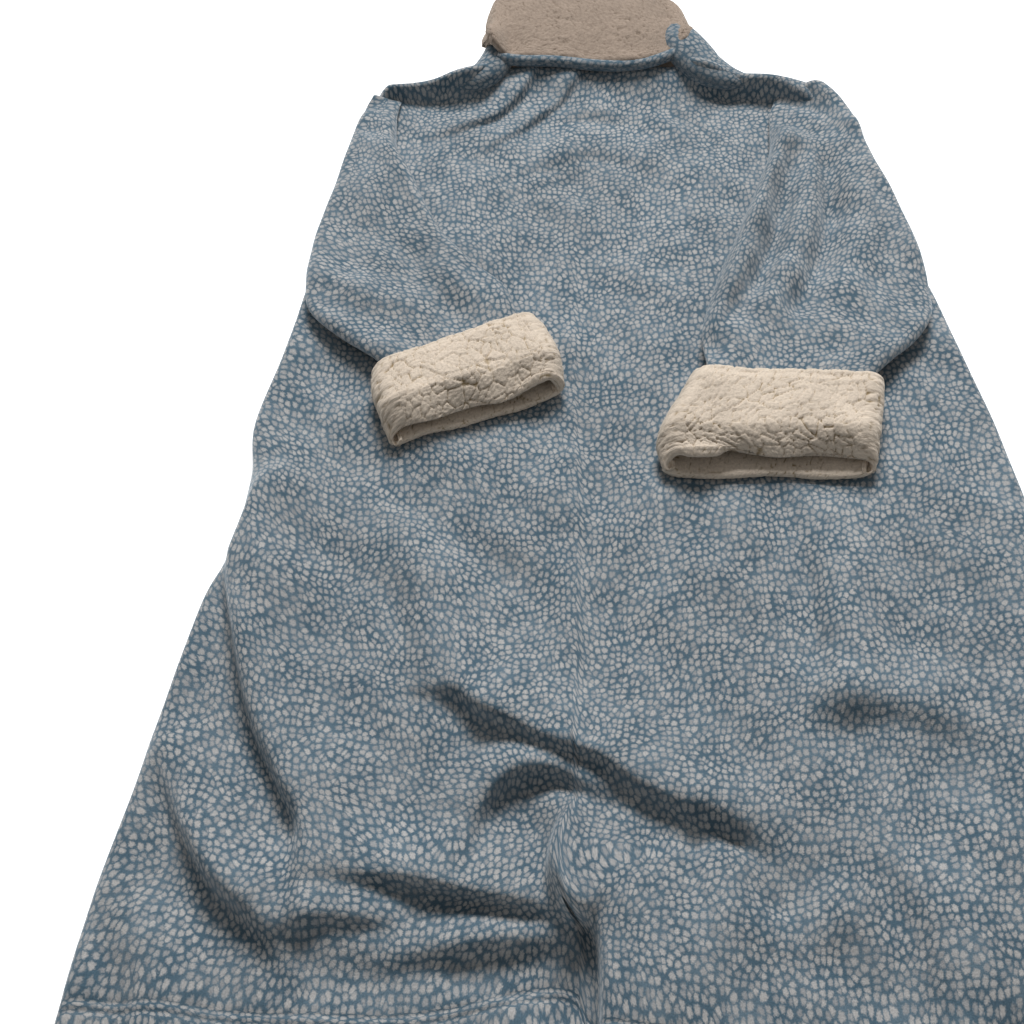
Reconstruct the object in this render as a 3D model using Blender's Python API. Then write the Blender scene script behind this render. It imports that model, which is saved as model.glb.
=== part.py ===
"""A plush bathrobe with a sherpa shawl collar and turned-back sherpa cuffs.

It lies face down on a flat surface with both sleeves folded over its back.
Metres, +Z up, the hem towards -Y and the collar towards +Y. The garment is
drawn with the hem at y = 0 and the centre back at x = 0, and is then moved
so that the origin lies on the surface, under the middle of the whole robe.
"""
from collections import namedtuple

import bpy
import numpy as np

# The cloth: plush outside bonded to a woolly inside
WALL = 0.008
LAYER_GAP = 0.0037
SEAM_GAP = 0.0003
REST_GAP = 0.0008
EDGE_ROLL = 0.015
INNER_ROLL = 0.008

# Heights above the surface that the robe lies on
BODY_HEIGHT = 2 * WALL + LAYER_GAP
SIDE_SEAM_Z = 0.0096
LOWEST_BACK_Z = 2 * WALL + 0.0006

# The body's length and neck
NECK_Y = 1.072
NECK_HALF = 0.100
SHOULDER_HALF = 0.256
SHOULDER_SLOPE = 0.36
V_NECK_Y = 0.700
CENTRE_GAP = 0.001
HEM_ROUND = 0.005
FRONT_HEM_INSET = 0.006

# Sleeves and cuffs
SLEEVE_HEIGHT = 2 * WALL + LAYER_GAP
SLEEVE_ROLL = 0.013
CUFF_WALL = 0.009
CUFF_FIT = 0.00075
CUFF_CAVITY = SLEEVE_HEIGHT + 2 * CUFF_FIT
CUFF_HEIGHT = CUFF_CAVITY + 2 * CUFF_WALL
CUFF_ROLL = 0.016
CUFF_MOUTH_CAVITY = 0.0065
CUFF_HEIGHTS = (CUFF_HEIGHT - 0.007, CUFF_HEIGHT, CUFF_HEIGHT, 0.027)
CUFF_LIP = 0.012

# Collar
COLLAR_WALL = 0.011
COLLAR_SEAM_Z = 0.0072
COLLAR_TURN_RISE = 0.050
COLLAR_STRIP = 0.090
BINDING_WIDTH = 0.013
BINDING_HEIGHT = 0.011
COLLAR_EDGE_FIT = 0.0015
COLLAR_EASE = 0.0014

Station = namedtuple("Station", "y left right")
BODY_SECTIONS = (
    Station(-0.03, 0.424, 0.418),
    Station(0.10, 0.410, 0.404),
    Station(0.20, 0.392, 0.388),
    Station(0.29, 0.377, 0.374),
    Station(0.37, 0.362, 0.362),
    Station(0.42, 0.345, 0.351),
    Station(0.50, 0.336, 0.342),
    Station(0.56, 0.340, 0.336),
    Station(0.65, 0.322, 0.322),
    Station(0.735, 0.308, 0.308),
    Station(0.80, 0.297, 0.292),
    Station(0.88, 0.281, 0.278),
    Station(0.97, 0.262, 0.264),
    Station(1.06, 0.252, 0.252),
)

HemStation = namedtuple("HemStation", "side y")
HEM_LINE = (
    HemStation(-1.00, 0.006),
    HemStation(-0.70, -0.004),
    HemStation(-0.42, -0.006),
    HemStation(-0.24, 0.010),
    HemStation(-0.15, 0.010),
    HemStation(-0.08, -0.020),
    HemStation(0.30, -0.026),
    HemStation(0.70, -0.012),
    HemStation(1.00, 0.000),
)

# Walking along a fold, its steep side is on the right hand. Start and end
# are the share of its rise that a fold has at its first and last point.
Fold = namedtuple("Fold", "name path rise steep gentle start end")
BACK_FOLDS = (
    Fold("thigh drape", ((-0.182, 0.276), (-0.125, 0.252), (-0.060, 0.226),
                         (-0.010, 0.190), (0.045, 0.170), (0.110, 0.132)),
         0.035, 0.038, 0.100, 0.3, 0.2),
    Fold("skirt overlap", ((-0.058, 0.190), (-0.068, 0.140), (-0.050, 0.100),
                           (-0.036, 0.060), (-0.040, -0.030)),
         0.034, 0.033, 0.130, 0.5, 1.0),
    Fold("arched crease", ((-0.128, 0.150), (-0.116, 0.184), (-0.086, 0.200),
                           (-0.052, 0.190)),
         0.018, 0.028, 0.034, 0.4, 0.6),
    Fold("small dome", ((-0.074, 0.170), (-0.062, 0.150)),
         0.008, 0.030, 0.030, 1.0, 1.0),
    Fold("low drape", ((-0.235, 0.112), (-0.178, 0.117), (-0.120, 0.106),
                       (-0.070, 0.094)),
         0.023, 0.026, 0.050, 0.3, 0.9),
    Fold("low drape tip", ((-0.262, 0.090), (-0.215, 0.092), (-0.172, 0.084)),
         0.012, 0.020, 0.030, 0.5, 0.3),
    Fold("hem roll", ((-0.190, 0.060), (-0.140, 0.072), (-0.070, 0.076)),
         0.014, 0.026, 0.026, 0.4, 0.9),
    Fold("side fold", ((-0.326, 0.474), (-0.338, 0.400), (-0.318, 0.310),
                       (-0.285, 0.220), (-0.258, 0.150), (-0.250, 0.095)),
         0.027, 0.030, 0.080, 0.3, 0.5),
    Fold("side fold head", ((-0.330, 0.510), (-0.314, 0.430), (-0.280, 0.310)),
         0.012, 0.024, 0.060, 0.4, 0.1),
    Fold("outer fold", ((-0.372, 0.235), (-0.345, 0.165), (-0.312, 0.118),
                        (-0.268, 0.062)),
         0.024, 0.032, 0.070, 0.3, 0.3),
    Fold("outer fold low", ((-0.385, 0.110), (-0.355, 0.050), (-0.345, -0.020)),
         0.014, 0.030, 0.050, 0.3, 1.0),
    Fold("waist swell", ((-0.190, 0.600), (-0.120, 0.470), (0.020, 0.400)),
         0.005, 0.110, 0.110, 0.6, 0.6),
    Fold("diagonal ridge", ((-0.290, 0.500), (-0.190, 0.405), (-0.130, 0.345)),
         0.007, 0.055, 0.060, 0.4, 0.3),
    Fold("hip ridge", ((-0.190, 0.420), (-0.165, 0.360), (-0.150, 0.290)),
         0.007, 0.040, 0.060, 0.3, 0.5),
    Fold("right skirt ridge", ((0.050, 0.170), (0.052, 0.110), (0.046, 0.050)),
         0.006, 0.040, 0.040, 0.3, 0.4),
    Fold("right skirt bowl", ((0.060, 0.096), (0.095, 0.078), (0.140, 0.108)),
         0.007, 0.030, 0.034, 0.4, 0.5),
    Fold("right hip ridge", ((0.166, 0.440), (0.170, 0.360), (0.160, 0.285)),
         0.012, 0.036, 0.060, 0.3, 0.6),
    Fold("right hip drape", ((0.120, 0.262), (0.190, 0.270), (0.260, 0.245)),
         0.012, 0.034, 0.060, 0.3, 0.5),
    Fold("right side fold", ((0.256, 0.050), (0.290, 0.170), (0.325, 0.300),
                             (0.328, 0.440)),
         0.018, 0.030, 0.080, 0.5, 0.3),
    Fold("right hem fold", ((0.180, 0.150), (0.200, 0.060), (0.195, -0.035)),
         0.014, 0.032, 0.060, 0.3, 1.0),
    Fold("back arc", ((-0.150, 0.868), (-0.080, 0.905), (-0.015, 0.938),
                      (0.050, 0.905)),
         0.006, 0.040, 0.060, 0.3, 0.3),
    Fold("nape arc", ((-0.060, 0.992), (-0.020, 1.000), (0.018, 0.996)),
         0.005, 0.024, 0.030, 0.4, 0.4),
    Fold("left shoulder roll", ((-0.240, 1.014), (-0.190, 1.028),
                                (-0.150, 1.040)),
         0.014, 0.024, 0.030, 0.8, 0.2),
    Fold("left yoke crease", ((-0.190, 0.950), (-0.130, 0.982), (-0.092, 1.014)),
         0.006, 0.022, 0.032, 0.3, 0.5),
    Fold("right shoulder roll", ((0.096, 1.038), (0.140, 1.024),
                                 (0.190, 1.015), (0.234, 1.004)),
         0.017, 0.024, 0.036, 0.2, 0.7),
)

SLEEVE_FOLDS = (
    Fold("left sleeve ridge", ((-0.250, 0.930), (-0.245, 0.820), (-0.205, 0.700)),
         0.007, 0.040, 0.050, 0.5, 0.3),
    Fold("left elbow fold", ((-0.292, 0.740), (-0.235, 0.690), (-0.165, 0.672)),
         0.005, 0.030, 0.040, 0.5, 0.3),
    Fold("right sleeve ridge", ((0.204, 0.900), (0.188, 0.820), (0.160, 0.740),
                                (0.128, 0.640)),
         0.008, 0.026, 0.036, 0.6, 0.4),
    Fold("right sleeve outer ridge", ((0.250, 0.880), (0.246, 0.800),
                                      (0.222, 0.720), (0.190, 0.650)),
         0.008, 0.028, 0.034, 0.6, 0.4),
    Fold("right armhole fold", ((0.150, 0.905), (0.190, 0.922), (0.240, 0.925)),
         0.006, 0.022, 0.030, 0.6, 0.4),
)

# One row for each section of a sleeve, from the shoulder to the cuff: the
# sleeve's edge towards the side seam, and its edge towards the centre back
Section = namedtuple("Section", "side_x side_y centre_x centre_y height lift")
LEFT_SLEEVE = (
    Section(-0.267, 0.988, -0.236, 0.964, 0.009, 0.0),
    Section(-0.278, 0.932, -0.222, 0.905, SLEEVE_HEIGHT, 0.0),
    Section(-0.289, 0.862, -0.202, 0.856, SLEEVE_HEIGHT, 0.0),
    Section(-0.302, 0.785, -0.176, 0.792, SLEEVE_HEIGHT, 0.0),
    Section(-0.305, 0.726, -0.146, 0.744, SLEEVE_HEIGHT, 0.001),
    Section(-0.292, 0.674, -0.112, 0.712, SLEEVE_HEIGHT, 0.005),
)
RIGHT_SLEEVE = (
    Section(0.268, 0.966, 0.172, 0.956, 0.009, 0.0),
    Section(0.270, 0.925, 0.168, 0.915, SLEEVE_HEIGHT, 0.0),
    Section(0.285, 0.860, 0.145, 0.855, SLEEVE_HEIGHT, 0.0),
    Section(0.296, 0.790, 0.118, 0.785, SLEEVE_HEIGHT, 0.0),
    Section(0.299, 0.725, 0.093, 0.722, SLEEVE_HEIGHT, 0.001),
    Section(0.286, 0.662, 0.074, 0.655, SLEEVE_HEIGHT, 0.005),
)

# The same for a cuff, from its upper edge to its mouth
CuffSection = namedtuple("CuffSection", "side_x side_y centre_x centre_y cavity")
LEFT_CUFF = (
    CuffSection(-0.232, 0.596, -0.086, 0.668, CUFF_CAVITY),
    CuffSection(-0.230, 0.572, -0.070, 0.642, CUFF_CAVITY),
    CuffSection(-0.222, 0.544, -0.060, 0.612, CUFF_CAVITY),
    CuffSection(-0.213, 0.522, -0.058, 0.588, CUFF_MOUTH_CAVITY),
)
RIGHT_CUFF = (
    CuffSection(0.232, 0.588, 0.060, 0.596, CUFF_CAVITY),
    CuffSection(0.226, 0.556, 0.042, 0.560, CUFF_CAVITY),
    CuffSection(0.218, 0.520, 0.024, 0.522, CUFF_CAVITY),
    CuffSection(0.212, 0.492, 0.026, 0.494, CUFF_MOUTH_CAVITY),
)

# One row for each section of the collar across the neck: where its free
# edge lies on the back, and where it turns over
CollarSection = namedtuple("CollarSection", "x free_y turn_y")
COLLAR = (
    CollarSection(-0.142, 1.068, 1.122),
    CollarSection(-0.130, 1.052, 1.152),
    CollarSection(-0.100, 1.040, 1.170),
    CollarSection(-0.050, 1.042, 1.177),
    CollarSection(0.000, 1.036, 1.178),
    CollarSection(0.040, 1.038, 1.174),
    CollarSection(0.070, 1.056, 1.158),
    CollarSection(0.088, 1.074, 1.126),
)


def curve_through(points, steps=10):
    """Samples of a smooth curve that passes through all the points."""
    knots = [np.array(point, float) for point in points]
    knots = [2 * knots[0] - knots[1]] + knots + [2 * knots[-1] - knots[-2]]
    samples = []
    for a, b, c, d in zip(knots, knots[1:], knots[2:], knots[3:]):
        for step in range(steps):
            t = step / steps
            samples.append(0.5 * (2 * b + (c - a) * t
                                  + (2 * a - 5 * b + 4 * c - d) * t ** 2
                                  + (3 * b - a - 3 * c + d) * t ** 3))
    samples.append(knots[-2])
    return np.array(samples)


def read_curve(rows, where):
    """Values of a table's other columns where its first column is given."""
    samples = curve_through(rows)
    columns = [np.interp(where, samples[:, 0], samples[:, k])
               for k in range(1, samples.shape[1])]
    return columns if len(columns) > 1 else columns[0]


def rolled(distance, radius):
    """A quarter round: 0 at an edge and 1 from the radius inwards."""
    share = np.clip(distance / radius, 0.0, 1.0)
    return np.sqrt(1.0 - (1.0 - share) ** 2)


def fold_rise(folds, x, y):
    """The height that a table of folds adds at each point."""
    total = np.zeros_like(x)
    for fold in folds:
        path = curve_through(fold.path, 5)
        nearest = np.full_like(x, np.inf)
        side = np.zeros_like(x)
        along = np.zeros_like(x)
        pieces = len(path) - 1
        for k in range(pieces):
            step = path[k + 1] - path[k]
            length = np.hypot(*step)
            dx = x - path[k][0]
            dy = y - path[k][1]
            share = np.clip((dx * step[0] + dy * step[1]) / length ** 2, 0, 1)
            away = np.hypot(dx - share * step[0], dy - share * step[1])
            left = (dy * step[0] - dx * step[1]) / length
            closer = away < nearest
            nearest = np.where(closer, away, nearest)
            side = np.where(closer, left / np.maximum(away, 1e-6), side)
            along = np.where(closer, (k + share) / pieces, along)
        lean = np.clip(0.5 + 0.5 * side, 0, 1)
        width = fold.steep + (fold.gentle - fold.steep) * lean
        shape = np.cos(0.5 * np.pi * np.clip(nearest / width, 0, 1)) ** 2
        ends = np.interp(along, (0, 0.3, 0.7, 1), (fold.start, 1, 1, fold.end))
        total += fold.rise * ends * shape
    return total


def top_line(side):
    """Y of the shoulder and neck edge; side is -1 at the left tip, 1 right."""
    across = np.abs(side) * SHOULDER_HALF
    return NECK_Y - SHOULDER_SLOPE * np.maximum(0.0, across - NECK_HALF)


def half_width(y, side):
    left, right = read_curve(BODY_SECTIONS, y)
    return np.where(side < 0, left, right)


def back_crown(x, y):
    """Top of the back panel away from its rolled edges."""
    return np.maximum(BODY_HEIGHT + fold_rise(BACK_FOLDS, x, y), LOWEST_BACK_Z)


def slope_factor(x, y):
    """How much thicker a sloping wall is when it is measured upright."""
    step = 0.003
    east = back_crown(x + step, y) - back_crown(x - step, y)
    north = back_crown(x, y + step) - back_crown(x, y - step)
    steepness = np.sqrt(1 + (east ** 2 + north ** 2) / (2 * step) ** 2)
    return np.minimum(steepness, 1.6)


def edge_steps(width, roll, inner):
    """Shares across a width, close together where both its edges roll."""
    near = np.array((0.0, 0.14, 0.50, 1.0)) * roll / width
    middle = np.linspace(near[-1], 1 - near[-1], inner + 1)[1:-1]
    return np.concatenate((near, middle, 1 - near[::-1]))


def linked_mesh(name, vertices, faces, material):
    mesh = bpy.data.meshes.new(name)
    mesh.from_pydata(vertices.tolist(), [], faces)
    mesh.shade_smooth()
    mesh.materials.append(material)
    piece = bpy.data.objects.new(name, mesh)
    robe.objects.link(piece)
    return piece


def closed_wall(name, outer, inner, ring, material):
    """A wall between two grids of points, closed along its open edges.

    A grid is an array of rows, columns and xyz. In a ring the last column
    joins the first. Faces of the outer grid point away from the inner one.
    """
    rows, columns = outer.shape[:2]
    count = rows * columns
    vertices = np.concatenate((outer.reshape(-1, 3), inner.reshape(-1, 3)))
    faces = []
    spans = columns if ring else columns - 1
    for r in range(rows - 1):
        for c in range(spans):
            e = (c + 1) % columns
            quad = (r * columns + c, r * columns + e,
                    (r + 1) * columns + e, (r + 1) * columns + c)
            faces.append(quad)
            faces.append(tuple(count + corner for corner in reversed(quad)))
    rims = [[r * columns + c for c in range(columns)] for r in (0, rows - 1)]
    loop = rims[0][::-1], rims[1]
    for rim in loop:
        pairs = list(zip(rim, rim[1:]))
        if ring:
            pairs.append((rim[-1], rim[0]))
        for a, b in pairs:
            faces.append((a, b, count + b, count + a))
    if not ring:
        west = [r * columns for r in range(rows)]
        east = [r * columns + columns - 1 for r in range(rows)][::-1]
        for rim in (west, east):
            for a, b in zip(rim, rim[1:]):
                faces.append((a, b, count + b, count + a))
    return linked_mesh(name, vertices, faces, material)


def cloth(name, colour, roughness):
    material = bpy.data.materials.new(name)
    material.use_nodes = True
    shader = material.node_tree.nodes["Principled BSDF"]
    shader.inputs["Base Color"].default_value = (*colour, 1)
    shader.inputs["Roughness"].default_value = roughness
    shader.inputs["Metallic"].default_value = 0.0
    return material


def body_rows():
    """Shares of the length, closer where the skirt and the yoke fold."""
    skirt = np.linspace(0.012, 0.300, 19)
    middle = np.linspace(0.350, 0.960, 12)
    yoke = np.linspace(0.985, NECK_Y - EDGE_ROLL, 6)
    edge = NECK_Y - EDGE_ROLL * np.array((0.60, 0.28, 0.08, 0.0))
    return np.concatenate(((0.0, 0.004), skirt, middle, yoke, edge)) / NECK_Y


def body_columns():
    """Sides from -1 to 1, closer at the rolled edges and the overlap."""
    edge = 1 - np.array((0.0, 0.0015, 0.005, 0.010, 0.018)) / 0.34
    left = np.linspace(-0.89, -0.38, 9)
    overlap = np.linspace(-0.32, 0.00, 9)
    right = np.linspace(0.07, 0.89, 13)
    return np.concatenate((-edge, left, overlap, right, edge[::-1]))


def body_grid(sides, shares, inset):
    """X, y and distances from the edges, drawn in from them by the inset."""
    side, share = np.meshgrid(sides, shares)
    hem = read_curve(HEM_LINE, side)
    top = top_line(side) - inset
    y = hem + share * (top - hem)
    width = half_width(y, side) - inset
    return side * width, y, (1 - np.abs(side)) * width, top - y, y - hem


def make_back():
    sides, shares = body_columns(), body_rows()
    seam = SIDE_SEAM_Z + SEAM_GAP
    x, y, from_side, from_top, from_hem = body_grid(sides, shares, 0.0)
    roll = rolled(from_side, EDGE_ROLL) * rolled(from_top, EDGE_ROLL)
    round_off = 0.003 * (1 - rolled(from_hem, HEM_ROUND)) * roll
    z = seam + (back_crown(x, y) - seam) * roll - round_off
    outer = np.stack((x, y, z), axis=-1)
    x, y, from_side, from_top, from_hem = body_grid(sides, shares, WALL)
    roll = rolled(from_side, INNER_ROLL) * rolled(from_top, INNER_ROLL)
    under = back_crown(x, y) - WALL * slope_factor(x, y)
    under = np.maximum(under, WALL + 0.0005)
    inner = np.stack((x, y, seam + (under - seam) * roll), axis=-1)
    return closed_wall("back_panel", outer, inner, False, plush)


def v_neck(y):
    """Half the opening between the fronts: nearly shut, and a V above."""
    spread = (NECK_HALF - CENTRE_GAP) * (y - V_NECK_Y) / (NECK_Y - V_NECK_Y)
    return CENTRE_GAP + np.maximum(0.0, spread)


def make_front(name, hand):
    """A front panel; hand is -1 for the one at -X, 1 for the one at +X."""
    near = EDGE_ROLL * np.array((0.0, 0.10, 0.32, 0.66, 1.0)) / 0.34
    across = np.concatenate((near, np.linspace(0.22, 1.0, 6)))
    shares = np.concatenate((np.linspace(0, 1 - EDGE_ROLL, 15),
                             1 - EDGE_ROLL * np.array((0.6, 0.28, 0.08, 0.0))))

    def grid(inset):
        share, from_edge = np.meshgrid(shares, across, indexing="ij")
        level = share * NECK_Y
        width = half_width(level, np.full_like(level, hand))
        side = hand * (1 - from_edge * (1 - v_neck(level) / width))
        hem = read_curve(HEM_LINE, side) + FRONT_HEM_INSET
        top = top_line(side) - inset
        y = hem + share * (top - hem)
        outer_x = half_width(y, side) - inset
        x = outer_x - from_edge * (outer_x - v_neck(y))
        return hand * x, y, from_edge * (outer_x - v_neck(y)), top - y

    x, y, from_side, from_top = grid(0.0)
    roll = rolled(from_side, EDGE_ROLL) * rolled(from_top, EDGE_ROLL)
    outer = np.stack((x, y, SIDE_SEAM_Z * (1 - roll)), axis=-1)
    x, y, from_side, from_top = grid(WALL)
    roll = rolled(from_side, INNER_ROLL) * rolled(from_top, INNER_ROLL)
    inner = np.stack((x, y, SIDE_SEAM_Z - (SIDE_SEAM_Z - WALL) * roll), axis=-1)
    if hand < 0:
        outer, inner = outer[:, ::-1], inner[:, ::-1]
    return closed_wall(name, outer, inner, False, plush)


def tube_grid(left, right, bottom_of, heights, lifts, roll, inset, cavities, lip):
    """Rings of a flat tube that lies on the back, one for each section.

    Left and right are its edges, row by row. Without cavities a ring is the
    tube's outside; with them it is the inside, drawn in by the inset.
    """
    rings = []
    for row in range(len(left)):
        edge_a, edge_b = left[row], right[row]
        width = np.hypot(*(edge_b - edge_a))
        shares = edge_steps(width, min(roll, 0.45 * width), 6)
        from_edge = np.minimum(shares, 1 - shares) * (width - 2 * inset)
        shares = (inset + shares * (width - 2 * inset)) / width
        x = edge_a[0] + shares * (edge_b[0] - edge_a[0])
        y = edge_a[1] + shares * (edge_b[1] - edge_a[1])
        middle = bottom_of(x, y) + lifts[row] + 0.5 * heights[row]
        opening = heights[row] if cavities is None else cavities[row]
        turn = min(roll, 0.45 * width) if cavities is None else 0.5 * opening
        swell = fold_rise(SLEEVE_FOLDS, x, y)
        up = 0.5 * opening * rolled(from_edge, turn)
        over = middle + up + swell * rolled(from_edge, 0.03)
        under = middle - up
        upper = np.stack((x, y + lip[row], over), axis=-1)
        lower = np.stack((x, y, under), axis=-1)[1:-1]
        rings.append(np.concatenate((upper, lower[::-1])))
    return np.array(rings)


def resting(x, y):
    """Underside of what lies on the back, level across its rolled edges."""
    return back_crown(x, y) + REST_GAP


def make_cuff(name, table):
    path = curve_through(table, 3)
    side, centre, cavity = path[:, 0:2], path[:, 2:4], path[:, 4]
    rows = len(path)
    place = np.linspace(0, 1, rows)
    heights = np.interp(place, (0, 0.15, 0.70, 1), CUFF_HEIGHTS)
    lifts = np.interp(place, (0, 0.15, 1), (0.5 * (CUFF_HEIGHT - heights[0]), 0, 0))
    lip = CUFF_LIP * np.clip(3 * place - 2, 0, 1)
    outer = tube_grid(side, centre, resting, heights, lifts, CUFF_ROLL, 0.0, None, lip)
    inner = tube_grid(side, centre, resting, heights, lifts, CUFF_ROLL, CUFF_WALL,
                      cavity, lip)
    if name.endswith("left"):
        outer, inner = outer[:, ::-1], inner[:, ::-1]
    return closed_wall(name, outer, inner, True, sherpa)


def make_sleeve(name, table, cuff_table):
    """The sleeve's sections, then those that the cuff hides around it."""
    hidden = []
    lift = 0.5 * (CUFF_HEIGHT - SLEEVE_HEIGHT)
    for row in cuff_table[:3]:
        side = np.array((row.side_x, row.side_y))
        centre = np.array((row.centre_x, row.centre_y))
        inwards = (centre - side) / np.hypot(*(centre - side))
        side = side + inwards * (CUFF_WALL + 2 * CUFF_FIT)
        centre = centre - inwards * (CUFF_WALL + 2 * CUFF_FIT)
        hidden.append(Section(*side, *centre, SLEEVE_HEIGHT, lift))
    path = curve_through(tuple(table) + tuple(hidden), 2)
    side, centre = path[:, 0:2], path[:, 2:4]
    heights, lifts = np.minimum(path[:, 4], SLEEVE_HEIGHT), np.maximum(path[:, 5], 0)
    lifts = np.minimum(lifts, lift)
    lip = np.zeros(len(path))
    cavities = np.full(len(path), LAYER_GAP)
    outer = tube_grid(side, centre, resting, heights, lifts, SLEEVE_ROLL, 0.0, None, lip)
    inner = tube_grid(side, centre, resting, heights, lifts, SLEEVE_ROLL, WALL,
                      cavities, lip)
    if name.endswith("left"):
        outer, inner = outer[:, ::-1], inner[:, ::-1]
    return closed_wall(name, outer, inner, True, plush)


def collar_profile(free_y, turn_y, x):
    """Middle of the collar's cloth, from the neck seam over to its free edge."""
    seam_y = NECK_Y + 2 * SEAM_GAP
    rise = COLLAR_TURN_RISE * np.interp(turn_y - free_y, (0.052, 0.120), (0.56, 1))
    seam = np.array((seam_y, COLLAR_SEAM_Z))
    over_z = resting(np.array([x]), np.array([free_y]))[0] + 0.5 * COLLAR_WALL + COLLAR_EASE
    over_z = max(over_z, COLLAR_SEAM_Z + COLLAR_WALL + 0.003)
    points = (seam, (turn_y - 0.016, COLLAR_SEAM_Z),
              (turn_y, COLLAR_SEAM_Z + 0.5 * rise),
              (turn_y - 0.016, COLLAR_SEAM_Z + rise),
              (0.4 * turn_y + 0.6 * free_y, 0.6 * (COLLAR_SEAM_Z + rise) + 0.4 * over_z),
              (free_y + 0.011, over_z + 0.0006), (free_y, over_z))
    return curve_through(points, 2)


def make_collar():
    columns = curve_through(COLLAR, 2)
    outer, inner = [], []
    for x, free_y, turn_y in columns:
        middle = collar_profile(free_y, turn_y, x)
        along = np.gradient(middle, axis=0)
        along /= np.hypot(along[:, 0], along[:, 1])[:, None]
        normal = np.stack((along[:, 1], -along[:, 0]), axis=-1)
        for rows, sign in ((outer, 0.5), (inner, -0.5)):
            moved = middle + sign * COLLAR_WALL * normal
            rows.append([(x, y, z) for y, z in moved])
    return closed_wall("collar", np.array(outer), np.array(inner), False, sherpa)


def closed_bar(name, rings, material):
    """A solid through rings of points, with a flat cap at each end."""
    rows, columns = rings.shape[:2]
    faces = [tuple(range(columns))[::-1],
             tuple(range((rows - 1) * columns, rows * columns))]
    for r in range(rows - 1):
        for c in range(columns):
            e = (c + 1) % columns
            faces.append((r * columns + c, r * columns + e,
                          (r + 1) * columns + e, (r + 1) * columns + c))
    return linked_mesh(name, rings.reshape(-1, 3), faces, material)


def make_collar_edge():
    """The under collar's plush, rolled out along the free edge."""
    line = curve_through([(row.x, row.free_y) for row in COLLAR], 2)
    along = np.gradient(line, axis=0)
    along /= np.hypot(along[:, 0], along[:, 1])[:, None]
    outwards = np.stack((along[:, 1], -along[:, 0]), axis=-1)
    rings = []
    for point, out in zip(line, outwards):
        first = point + out * COLLAR_EDGE_FIT
        turns = np.linspace(2 * np.pi, 0, 8, endpoint=False)
        reach = 0.5 * (1 + np.cos(turns)) * BINDING_WIDTH
        x, y = first[0] + out[0] * reach, first[1] + out[1] * reach
        z = resting(x, y) + BINDING_HEIGHT * 0.5 * (1 + np.sin(turns))
        rings.append(np.stack((x, y, z), axis=-1))
    return closed_bar("collar_edge", np.array(rings), plush_dark)


def make_collar_front(name, hand):
    """The collar's run down a front edge, flat beneath the back."""
    levels = np.linspace(V_NECK_Y + 0.035, NECK_Y - 0.004, 12)
    slack = SEAM_GAP + 0.0003
    far = v_neck(levels) - slack
    near = np.maximum(far - COLLAR_STRIP, CENTRE_GAP)
    grids = []
    for z in (0.0, COLLAR_WALL - 0.002):
        rows = []
        for share in (0.0, 0.5, 1.0):
            x = near + share * (far - near)
            rows.append(np.stack((hand * x, levels, np.full_like(x, z)), axis=-1))
        grids.append(np.stack(rows, axis=1))
    under, over = grids
    if hand > 0:
        under, over = under[:, ::-1], over[:, ::-1]
    return closed_wall(name, under, over, False, sherpa)


def centre_on_origin(pieces):
    """Move the whole robe so that its box stands centred on the origin."""
    points = np.array([vertex.co for piece in pieces for vertex in piece.data.vertices])
    low, high = points.min(axis=0), points.max(axis=0)
    middle = 0.5 * (low + high)
    for piece in pieces:
        for vertex in piece.data.vertices:
            vertex.co.x -= middle[0]
            vertex.co.y -= middle[1]
            vertex.co.z -= low[2]
    print("design frame to robe frame:", -middle[0], -middle[1], -low[2])


for leftover in list(bpy.data.objects):
    bpy.data.objects.remove(leftover, do_unlink=True)

robe = bpy.data.collections.new("bathrobe")
bpy.context.scene.collection.children.link(robe)

plush = cloth("plush", (0.27, 0.37, 0.42), 0.9)
plush_dark = cloth("plush_edge", (0.20, 0.29, 0.36), 0.9)
sherpa = cloth("sherpa", (0.72, 0.66, 0.55), 0.95)

pieces = [
    make_back(),
    make_front("front_left", -1),
    make_front("front_right", 1),
    make_sleeve("sleeve_left", LEFT_SLEEVE, LEFT_CUFF),
    make_sleeve("sleeve_right", RIGHT_SLEEVE, RIGHT_CUFF),
    make_cuff("cuff_left", LEFT_CUFF),
    make_cuff("cuff_right", RIGHT_CUFF),
    make_collar(),
    make_collar_edge(),
    make_collar_front("collar_front_left", -1),
    make_collar_front("collar_front_right", 1),
]
centre_on_origin(pieces)
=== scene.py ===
from collections import namedtuple

import bpy
import numpy as np
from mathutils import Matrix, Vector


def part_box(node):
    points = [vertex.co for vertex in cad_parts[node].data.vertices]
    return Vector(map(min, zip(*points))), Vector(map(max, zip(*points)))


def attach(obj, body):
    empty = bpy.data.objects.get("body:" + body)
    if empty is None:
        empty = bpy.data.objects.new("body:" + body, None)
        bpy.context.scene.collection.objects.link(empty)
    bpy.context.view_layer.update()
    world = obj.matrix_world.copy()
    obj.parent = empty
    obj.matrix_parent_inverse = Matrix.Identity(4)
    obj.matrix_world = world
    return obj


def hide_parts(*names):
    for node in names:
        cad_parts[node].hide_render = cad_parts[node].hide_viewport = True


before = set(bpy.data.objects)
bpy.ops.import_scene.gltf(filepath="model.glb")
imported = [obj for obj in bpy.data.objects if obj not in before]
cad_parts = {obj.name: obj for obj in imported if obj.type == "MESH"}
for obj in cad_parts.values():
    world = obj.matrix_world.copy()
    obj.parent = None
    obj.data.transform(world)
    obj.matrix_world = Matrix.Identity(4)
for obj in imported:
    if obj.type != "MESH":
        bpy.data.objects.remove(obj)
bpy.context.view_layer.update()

WALL = 0.008
LAYER_GAP = 0.0037
REST_GAP = 0.0008
EDGE_ROLL = 0.015
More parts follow.
